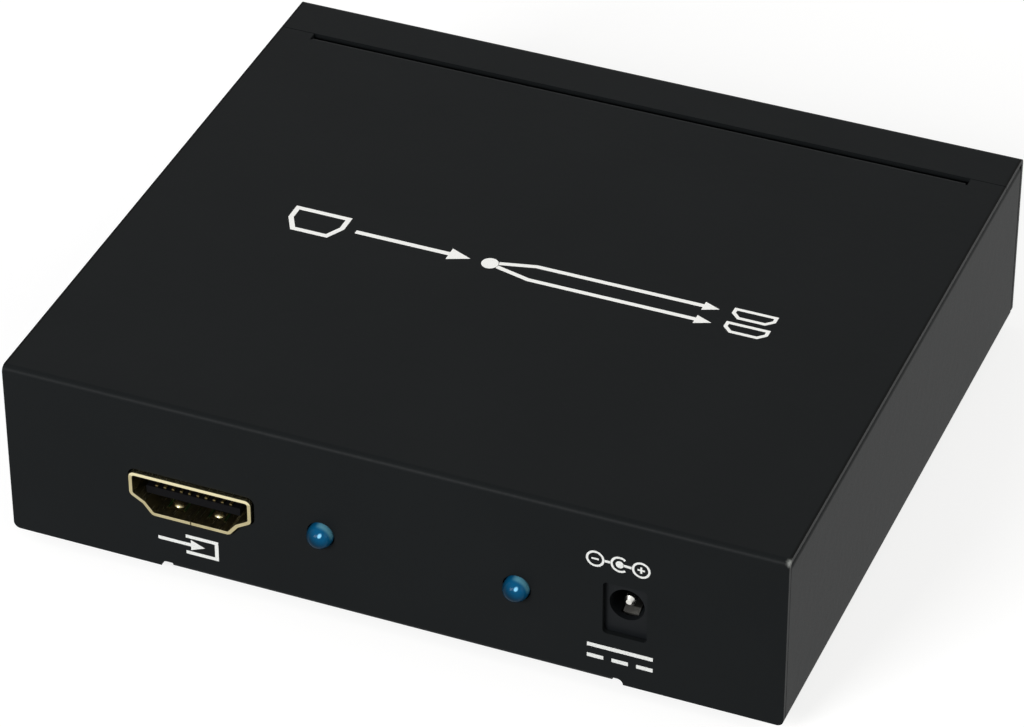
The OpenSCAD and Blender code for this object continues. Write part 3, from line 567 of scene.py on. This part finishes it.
lens_profile = dome(1.5, 12) + [(1.5, 2.8), (1.5, 4.2), (1.53, 4.27), (1.6, 4.3), (1.82, 4.3), (1.88, 4.32),
                                (1.9, 4.38), (1.9, 5.22), (1.88, 5.28), (1.82, 5.3), (0, 5.3)]
for lamp, tip in lamp_tips.items():
    shape = Shape()
    shape.turned(lens_profile, Matrix.Translation(tip) @ Matrix.Rotation(math.radians(-90), 4, "X"))
    made = shape.piece(lamp + "_lens", "base", "lamp_lens", [cast_resin(lamp + "_resin", tip)])
    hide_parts(lamp)

# %% [markdown]
# ## Printed marks
# Such a case is printed in white by a silk screen. The marks here are plain pictograms: a diagram of one line that
# becomes two on the top, arrows and brackets at the sockets, and the usual signs for direct current and for the
# jack's poles. They are thin raised shapes, 12 thousandths of a millimetre, as the ink is, so they keep crisp edges.
# The white on the top is painted lighter than that on the walls, as painted light, since the top gets less light.

# %% White ink
def printed(name, darker, full):
    """Ink from a silk screen, a little thin where the mesh of the screen was."""
    made = Finish(name)
    speck = made.noise(0.09, 3.0)
    made.paint(
        Base_Color=made.mix(made.step(speck, 0.3, 0.42), colour(darker), colour(full)),
        Roughness=0.5 + speck * 0.2,
        Specular_IOR_Level=0.2,
        Normal=made.relief(speck, 0.004),
    )
    return made


ink = printed("white_ink", "a4a5a4", "dddedc")
# Painted light: the top's ink is a lighter copy of the white ink, as the top gets less light than the walls.
top_ink_painted_lighter = printed("white_ink_painted_lighter", "d6d7d5", "fafaf8")
INK = 0.012


class Mark(Shape):
    """Flat shapes of one height, in millimetres, that are drawn level and then laid on a face."""

    def __init__(self, height=INK):
        super().__init__()
        self.height = height

    def fill(self, outline):
        self.prism(outline, self.height)

    def line(self, points, width, closed=False):
        """A line of even width with mitred corners."""
        points = [Vector(p) for p in points]
        n = len(points)
        sides = []
        for i, point in enumerate(points):
            before = points[i - 1] if i or closed else None
            after = points[(i + 1) % n] if i < n - 1 or closed else None
            runs = [(b - a).normalized() for a, b in ((before, point), (point, after)) if a and b]
            normals = [Vector((-run.y, run.x)) for run in runs]
            across = sum(normals, Vector((0, 0)))
            across *= width / 2 / (across.dot(normals[0]))
            sides.append((point + across, point - across))
        for i in range(n if closed else n - 1):
            (a, b), (c, d) = sides[i], sides[(i + 1) % n]
            self.fill([tuple(b), tuple(d), tuple(c), tuple(a)])

    def arc(self, centre, radius, width, start=0, end=360, steps=40):
        angles = [math.radians(start + (end - start) * i / steps) for i in range(steps + 1)]
        points = [(centre[0] + radius * math.cos(a), centre[1] + radius * math.sin(a)) for a in angles]
        if end - start == 360:
            self.line(points[:-1], width, closed=True)
        else:
            self.line(points, width)

    def disc(self, centre, radius, steps=32):
        angles = [2 * math.pi * i / steps for i in range(steps)]
        self.fill([(centre[0] + radius * math.cos(a), centre[1] + radius * math.sin(a)) for a in angles])

    def arrow(self, start, end, width, head):
        """A level arrow to the right: a line and a head of that length."""
        self.line([start, (end[0] - head, end[1])], width)
        self.fill([(end[0] - head, end[1] - head * 0.42), end, (end[0] - head, end[1] + head * 0.42)])

    def socket(self, centre, width, height, stroke):
        """The outline of a socket: wide above, drawn in below."""
        x, y = width / 2, height / 2
        corners = [(-x, y), (-x, 0), (-x * 0.66, -y), (x * 0.66, -y), (x, 0), (x, y)]
        self.line([(centre[0] + a, centre[1] + b) for a, b in corners], stroke, closed=True)

    def laid(self, name, body, place, slot="case_paint", finish=ink):
        self.points = [place @ p for p in self.points]
        self.piece(name, body, slot, [finish])


pan_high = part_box("base_pan")[1] / MM
upright = Matrix.Rotation(math.radians(90), 4, "X")
on_top = Matrix.Translation((0, 0, cover_high.z))
on_front = Matrix.Translation((0, cover_low.y, 0)) @ upright
on_rear = Matrix.Translation((0, pan_high.y, 0)) @ Matrix.Rotation(math.pi, 4, "Z") @ upright
print("top at", round(cover_high.z, 2), "- walls at", round(cover_low.y, 2), "and", round(pan_high.y, 2))

# %% The marks on the top and the front
mark = Mark()
middle, spread, stroke = -1.82, 1.36, 0.56
mark.socket((-25.1, middle), 6.4, 4.0, 0.6)
mark.arrow((-20.2, middle), (-6.0, middle), 0.62, 2.6)
mark.disc((-3.6, middle), 1.0)
for side in (1, -1):
    level = middle + side * spread
    mark.line([(-2.6, middle + side * 0.34), (1.6, level), (4.4, level)], stroke)
    mark.arrow((4.4, level), (23.6, level), stroke, 1.9)
    mark.socket((27.7, level), 4.8, 1.55, 0.42)
mark.laid("branching_diagram", "cover", on_top, finish=top_ink_painted_lighter)

MARK_Z, BRACKET_HALF, BRACKET_STROKE = 5.6, 1.12, 0.44


def bracket_and_arrow(mark, mouth, back, start, end):
    """A bracket that opens at mouth and an arrow from start to end, all places along the wall."""
    high, low = MARK_Z + BRACKET_HALF, MARK_Z - BRACKET_HALF
    mark.line([(mouth, high), (back, high), (back, low), (mouth, low)], BRACKET_STROKE)
    mark.arrow((start, MARK_Z), (end, MARK_Z), BRACKET_STROKE, 1.7)


mark = Mark()
bracket_and_arrow(mark, -24.4, -20.65, -27.8, -22.1)
mark.laid("input_mark", "cover", on_front)

mark = Mark()
mark.line([(23.4, 6.2), (31.0, 6.2)], 0.5)
for start in (23.4, 26.25, 29.1):
    mark.line([(start, 4.7), (start + 1.9, 4.7)], 0.5)
mark.laid("direct_current_mark", "cover", on_front)

# %% The sign for the jack's poles
mark = Mark()
left, inner, right = (24.25, 18.15), (27.05, 18.15), (29.5, 18.1)
ring, stroke, sign = 0.93, 0.26, 0.22
arm, link, reach = 0.42, 0.32, ring + 0.17
for centre in (left, right):
    mark.arc(centre, ring, stroke)
    mark.line([(centre[0] - arm, centre[1]), (centre[0] + arm, centre[1])], sign)
mark.line([(left[0] + reach, left[1]), (inner[0] - reach, inner[1])], link)
mark.arc(inner, ring, stroke, 48, 312)
mark.disc(inner, 0.46)
mark.line([(inner[0] + 0.4, inner[1]), (right[0] - reach, right[1])], link)
for side in (1, -1):
    mark.line([(right[0], right[1] + side * sign / 2), (right[0], right[1] + side * arm)], sign)
mark.laid("pole_mark", "cover", on_front)

# %% [markdown]
# The rear wall carries the same bracket and arrow at each output, with the arrow going out, and one or two dots tell
# the outputs apart. The rear wall belongs to the base pan, so these marks ride on the base and not on the cover.

# %% The marks on the rear
for number, output in enumerate(("output_1_shell", "output_2_shell"), 1):
    low, high = (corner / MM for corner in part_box(output))
    centre = -(low.x + high.x) / 2
    mark = Mark()
    bracket_and_arrow(mark, centre - 0.4, centre - 4.15, centre - 2.7, centre + 3.0)
    for i in range(number):
        mark.disc((centre + 4.4 + 1.3 * i, MARK_Z), 0.42)
    mark.laid(f"output_{number}_mark", "base", on_rear)

# %% [markdown]
# ## The board close up
# When the cover slides off, the board shows, so it gets what a real one has: copper tracks under the mask, tinned
# pads with solder, chip parts with tinned ends, and white outlines. A node can hold many solids, for example twelve
# capacitors, and each small piece goes where its solid is. So the first step finds the box of each separate solid
# from the mesh itself: points that share a face belong together.

# %% Find the separate solids of a node
def solids(name):
    """The lowest and highest corner, in millimetres, of each separate solid of a node."""
    mesh = nodes[name].data
    keys = [tuple(round(c / MM, 3) for c in v.co) for v in mesh.vertices]
    owner = {key: key for key in keys}

    def first(key):
        while owner[key] != key:
            owner[key] = owner[owner[key]]
            key = owner[key]
        return key

    for face in mesh.polygons:
        for i in face.vertices:
            owner[first(keys[i])] = first(keys[face.vertices[0]])
    groups = {}
    for key in owner:
        groups.setdefault(first(key), []).append(key)
    boxes = [([min(c) for c in zip(*group)], [max(c) for c in zip(*group)]) for group in groups.values()]
    return [(Vector(low), Vector(high)) for low, high in sorted(boxes)]


for name in ("ceramic_capacitors", "chip_resistors", "memory_chip_legs", "input_contacts"):
    print(name, len(solids(name)), "solids")

# %% [markdown]
# A chip capacitor is a block of fired ceramic with a tinned cap on each end, and a chip resistor is a white alumina
# plate with a dark glaze on top. Both replace their plain CAD blocks.

# %% Chip capacitors and resistors
ceramic = moulded("fired_ceramic", "8c7356", "a3876a", 0.4, 0.3)
alumina = moulded("white_alumina", "c9c8c2", "dddcd6", 0.5, 0.3)
glaze = moulded("dark_glaze", "141416", "1e1e21", 0.2, 0.4)


def chip_parts(name, node, slot, cap, core, glazed):
    """Blocks with tinned ends in place of a node's plain blocks."""
    shape = Shape()
    for low, high in solids(node):
        inset = Vector((cap * 0.8, 0.03, 0.0))
        top = high.z - (0.07 if glazed else 0.03)
        shape.block(low + inset, (high.x - inset.x, high.y - inset.y, top), 0.03, 0)
        cap_top = high.z - 0.02 * glazed
        shape.block(low, (low.x + cap, high.y, cap_top), 0.06, 1)
        shape.block((high.x - cap, low.y, low.z), (high.x, high.y, cap_top), 0.06, 1)
        if glazed:
            shape.block((low.x + cap * 0.9, low.y + 0.05, top - 0.03), (high.x - cap * 0.9, high.y - 0.05, high.z),
                        0.02, 2)
    made = shape.piece(name, "base", slot, [core, tin, glaze] if glazed else [core, tin])
    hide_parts(node)


chip_parts("capacitor_chips", "ceramic_capacitors", "ceramic", 0.34, ceramic, False)
chip_parts("resistor_chips", "chip_resistors", "chip_resin", 0.22, alumina, True)

# %% [markdown]
# ## Pads and solder
# Every leg stands on a tinned pad, and the solder climbs a little around it. A pad is a thin plate that is longer
# than the foot, and the solder is a low rounded block around it.

# %% Pads and solder under every foot
solder = plated("solder", "b7b8b6", "d2d3d0", 0.2)
top = board_high.z
joints = Shape()


def soldered(low, high, out, climb):
    """A pad around a foot between two corners, longer by out at both ends, with solder of a height."""
    joints.block((low[0] - 0.07, low[1] - out, top - 0.02), (high[0] + 0.07, high[1] + out, top + 0.03), 0.02)
    joints.block((low[0] - 0.04, low[1] - out * 0.6, top), (high[0] + 0.04, high[1] + out * 0.6, top + climb),
                 climb * 0.45)


for node in ("memory_chip_legs", "regulator_legs"):
    for low, high in solids(node):
        soldered(low, high, 0.3, 0.13)
for node in ("ceramic_capacitors", "chip_resistors"):
    for low, high in solids(node):
        for x, way in ((low.x, -1), (high.x, 1)):
            ends = sorted((x - way * 0.2, x + way * 0.22))
            soldered((ends[0], low.y), (ends[1], high.y), 0.06, (high.z - low.z) * 0.3)
FOOT = 0.9
for node, way in (("input_contacts", 1), ("output_1_contacts", -1), ("output_2_contacts", -1)):
    for low, high in solids(node):
        ends = (high.y - FOOT, high.y) if way > 0 else (low.y, low.y + FOOT)
        soldered((low.x, ends[0]), (high.x, ends[1]), 0.22, 0.09)
joints.piece("pads_and_solder", "base", "tin_plate", [solder])

# %% [markdown]
# ## Tracks
# Fast video signals run in pairs of tracks that keep together from the socket to the chip. Each track goes straight,
# crosses over at 45 degrees and goes straight on, as a board designer draws it. Copper under the mask looks a
# lighter green and stands 35 thousandths of a millimetre proud.

# %% Pairs of tracks and power bands
on_board = Matrix.Translation((0, 0, top))
copper = Mark(0.035)
LEG_PITCH, PAIR_HALF = 1.27, 0.2


def route(start, end, width, early):
    """A track with one slanting run, which begins after that share of the straight length."""
    side = abs(end[0] - start[0])
    way = 1 if end[1] > start[1] else -1
    bend = start[1] + way * early * (abs(end[1] - start[1]) - side)
    copper.line([start, (start[0], bend), (end[0], bend + way * side), end], width)


foot_rows = {"input": solids("input_contacts")[0][1].y, "output": solids("output_1_contacts")[0][0].y}
pairs = [(-22.3, -9.2, "input"), (-21.3, -6.6, "input"), (-20.3, -4.0, "input"), (-19.3, -1.4, "input"),
         (-14.8, -9.2, "output"), (-13.8, -6.6, "output"), (13.8, -1.4, "output"), (14.8, 1.2, "output")]
for start_x, end_x, row in pairs:
    end_y = -7.4 if row == "input" else 6.8
    for off in (-PAIR_HALF, PAIR_HALF):
        route((start_x + off, foot_rows[row]), (end_x + off, end_y), 0.18, 0.5 if row == "input" else 0.25)
for low, high in solids("memory_chips"):
    rear = low.y > 0
    for i in range(4):
        leg_x = (low.x + high.x) / 2 + (i - 1.5) * LEG_PITCH
        leg_y = high.y + 1.3 if rear else low.y - 1.3
        route((leg_x - 0.9 + 0.1 * i, foot_rows["output" if rear else "input"]), (leg_x, leg_y), 0.16, 0.4)
for band in ([(27.7, -28.2), (27.7, -24.6)], [(27.7, -17.0), (27.7, -14.8), (22.4, -14.8), (19.6, -17.6)],
             [(13.9, -21.5), (12.4, -21.5), (12.4, -14.0), (13.6, -12.4)],
             [(29.7, -8.0), (29.7, -2.0), (24.5, 3.2), (3.0, 3.2)]):
    copper.line(band, 1.9)
copper.laid("copper_tracks", "base", on_board, "board_laminate", over_copper)

# %% Vias
vias = Mark(0.03)
# Painted shade: each via's hole is a dark disc over its ring, standing for the shade inside the hole.
painted_hole_shade = Mark(0.034)
spots = [(side * 42.5, y) for side in (-1, 1) for y in range(-36, 39, 4)]
spots += [(x, -37.4) for x in (-14, -11, -3, 0, 3, 6, 9, 20, 34, 37)]
spots += [(x, 38.6) for x in range(-8, 9, 4)]
spots += [(-13.0 + 2.1 * i, y) for i in range(9) for y in (-13.2, 12.6)]
for spot in spots:
    vias.arc(spot, 0.24, 0.2, steps=14)
    painted_hole_shade.disc(spot, 0.15, 12)
vias.laid("via_rings", "base", on_board, "tin_plate", solder)
painted_hole_shade.laid("via_holes_painted_shade", "base", on_board, "chip_resin", glaze)

# %% [markdown]
# ## White outlines on the board
# The board house prints the outline of each part and a dot at its first leg. The outlines follow the boxes of the
# solids, so none of their numbers is typed.

# %% Outlines and dots
print_on_board = Mark()


def outlined(low, high, gap, width=0.16):
    x0, y0, x1, y1 = low.x - gap, low.y - gap, high.x + gap, high.y + gap
    print_on_board.line([(x0, y0), (x1, y0), (x1, y1), (x0, y1)], width, closed=True)


for low, high in solids("memory_chips"):
    outlined(low, high, 0.12)
    print_on_board.disc((low.x - 0.7, low.y - 0.8), 0.22, 16)
for node, gap in (("regulator_body", 0.14), ("power_inductor", 0.5), ("crystal", 0.45)):
    for low, high in solids(node):
        outlined(low, high, gap)
for low, high in solids("capacitor_bases"):
    outlined(low, high, 0.4)
    print_on_board.line([(high.x + 0.9, low.y + 0.2), (high.x + 0.9, low.y + 1.4)], 0.2)
    print_on_board.line([(high.x + 0.7, low.y + 0.8), (high.x + 1.1, low.y + 0.8)], 0.2)
for low, high in solids("heat_sink"):
    for x, way_x in ((low.x - 0.6, 1), (high.x + 0.6, -1)):
        for y, way_y in ((low.y - 0.6, 1), (high.y + 0.6, -1)):
            print_on_board.line([(x + 2 * way_x, y), (x, y), (x, y + 2 * way_y)], 0.16)
print_on_board.laid("board_print", "base", on_board, "board_laminate", ink)

# %% [markdown]
# ## Marks on the parts
# An electrolytic can has a dark half moon over its minus side, and a moulded chip a small round dimple at its first
# leg. The inductor stands on two bent tin terminals.

# %% Half moons, dimples and terminals
dark_ink = printed("dark_ink", "2a2c30", "1c1d20")
moons = Mark()
for low, high in solids("capacitor_cans"):
    x, y, radius = (low.x + high.x) / 2, (low.y + high.y) / 2, (high.x - low.x) / 2 - 0.62
    angles = [math.radians(128 + 104 * i / 24) for i in range(25)]
    moons.fill([(x + radius * math.cos(a), y + radius * math.sin(a)) for a in angles])
moons.laid("can_half_moons", "base", Matrix.Translation((0, 0, high.z)), "can_aluminium", dark_ink)

for node in ("memory_chips", "regulator_body"):
    dimples = Mark()
    for low, high in solids(node):
        dimples.arc((low.x + 0.75, low.y + 0.75), 0.3, 0.09, steps=24)
    dimples.laid(node + "_dimples", "base", Matrix.Translation((0, 0, high.z)), "chip_resin", glaze)

terminals = Shape()
for low, high in solids("power_inductor"):
    middle_y = (low.y + high.y) / 2
    for x, way in ((low.x, -1), (high.x, 1)):
        side = sorted((x - way * 0.05, x + way * 0.12))
        foot = sorted((x, x + way * 0.55))
        terminals.block((side[0], middle_y - 1.5, low.z), (side[1], middle_y + 1.5, low.z + 1.1), 0.05)
        terminals.block((foot[0], middle_y - 1.6, low.z), (foot[1], middle_y + 1.6, low.z + 0.12), 0.05)
terminals.piece("inductor_terminals", "base", "tin_plate", [tin])

# %% [markdown]
# ## Size against the CAD
# The boxes of the solids and of the dressed object are both taken, and how far the dressed object reaches past its
# solids is printed. The dressed object may not outgrow its solids.

# %% Both boxes and their difference
boxes = {"cad": [list(corner) for corner in cad_box], "visual": [list(corner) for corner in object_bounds()]}
print("grown by mm:", [round((b - a) / MM, 3) for a, b in zip(boxes["cad"][1], boxes["visual"][1])])
